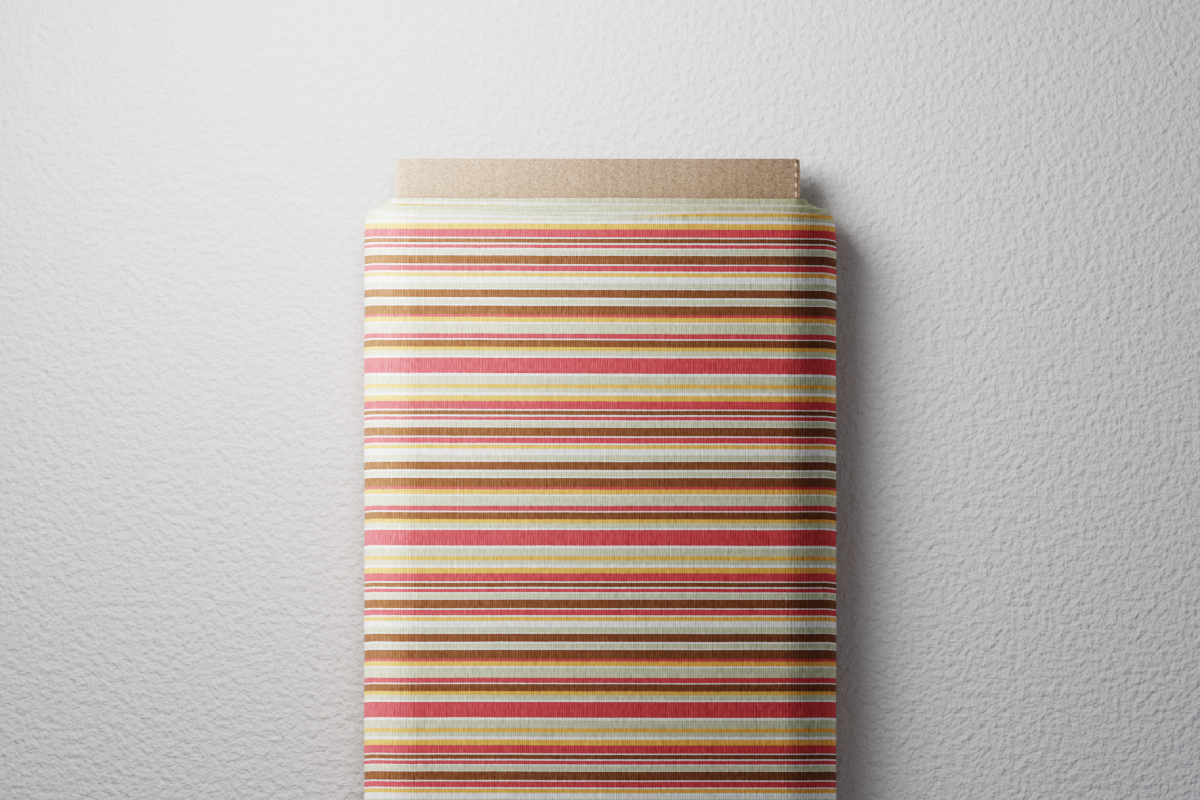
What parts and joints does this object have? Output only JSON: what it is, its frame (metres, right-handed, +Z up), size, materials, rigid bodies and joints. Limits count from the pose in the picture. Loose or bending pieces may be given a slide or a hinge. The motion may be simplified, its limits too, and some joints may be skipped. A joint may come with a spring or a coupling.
{
  "type": "fabric bolt",
  "caption": "Flat cardboard bolt board with striped cotton cloth wound round it, its loose end pinned and its board ends closed by hinged tuck flaps.",
  "frame": {"origin": "middle of the flat back face the bolt rests on", "axes": "+Y along the bolt towards its plain board end, +Z up out of the front face, +X across the width towards the edge with the pinned cloth end"},
  "size_m": [0.2367, 0.6097, 0.0557],
  "materials": {
    "kraft_liner": "matte",
    "kraft_medium": "matte",
    "glue": "matte",
    "tape": "satin",
    "label_paper": "matte",
    "striped_cotton": "matte",
    "pin_steel": "polished",
    "pin_head_white": "gloss"
  },
  "bodies": {
    "core_and_winding": {"core_outer_liner": "kraft_liner", "core_fluted_medium": "kraft_medium", "core_inner_liner": "kraft_liner", "web_glue": "glue", "start_tapes": "tape", "fabric_winding": "striped_cotton"},
    "top_flap": {"top_flap_outer_liner": "kraft_liner", "top_flap_medium": "kraft_medium", "top_flap_inner_liner": "kraft_liner"},
    "top_lip": {"top_lip_outer_liner": "kraft_liner", "top_lip_medium": "kraft_medium", "top_lip_inner_liner": "kraft_liner"},
    "bottom_flap": {"bottom_flap_outer_liner": "kraft_liner", "bottom_flap_medium": "kraft_medium", "bottom_flap_inner_liner": "kraft_liner", "end_label": "label_paper"},
    "bottom_lip": {"bottom_lip_outer_liner": "kraft_liner", "bottom_lip_medium": "kraft_medium", "bottom_lip_inner_liner": "kraft_liner"},
    "cloth_tail": {"fabric_tail": "striped_cotton"},
    "pin_top": {"pin_top_shaft": "pin_steel", "pin_top_head": "pin_head_white"},
    "pin_middle": {"pin_middle_shaft": "pin_steel", "pin_middle_head": "pin_head_white"},
    "pin_bottom": {"pin_bottom_shaft": "pin_steel", "pin_bottom_head": "pin_head_white"}
  },
  "joints": [
    {"name": "top_flap_hinge", "type": "hinge", "parent": "core_and_winding", "child": "top_flap", "pos_m": [0, 0.3048, 0.035], "axis": [1, 0, 0], "range_deg": [0, 120]},
    {"name": "top_lip_crease", "type": "hinge", "parent": "top_flap", "child": "top_lip", "pos_m": [0, 0.3018, 0.02488], "axis": [-1, 0, 0], "range_deg": [0, 25]},
    {"name": "bottom_flap_hinge", "type": "hinge", "parent": "core_and_winding", "child": "bottom_flap", "pos_m": [0, -0.3048, 0.035], "axis": [-1, 0, 0], "range_deg": [0, 120]},
    {"name": "bottom_lip_crease", "type": "hinge", "parent": "bottom_flap", "child": "bottom_lip", "pos_m": [0, -0.3018, 0.02488], "axis": [1, 0, 0], "range_deg": [0, 25]},
    {"name": "tail_lift", "type": "hinge", "parent": "core_and_winding", "child": "cloth_tail", "pos_m": [0.11388, 0, 0.04217], "axis": [0, -1, 0], "range_deg": [0, 80]},
    {"name": "pin_top_slide", "type": "slide", "parent": "cloth_tail", "child": "pin_top", "axis": [0, 1, 0], "range_m": [0, 0.026]},
    {"name": "pin_middle_slide", "type": "slide", "parent": "cloth_tail", "child": "pin_middle", "axis": [0, 1, 0], "range_m": [0, 0.026]},
    {"name": "pin_bottom_slide", "type": "slide", "parent": "cloth_tail", "child": "pin_bottom", "axis": [0, 1, 0], "range_m": [0, 0.026]}
  ]
}
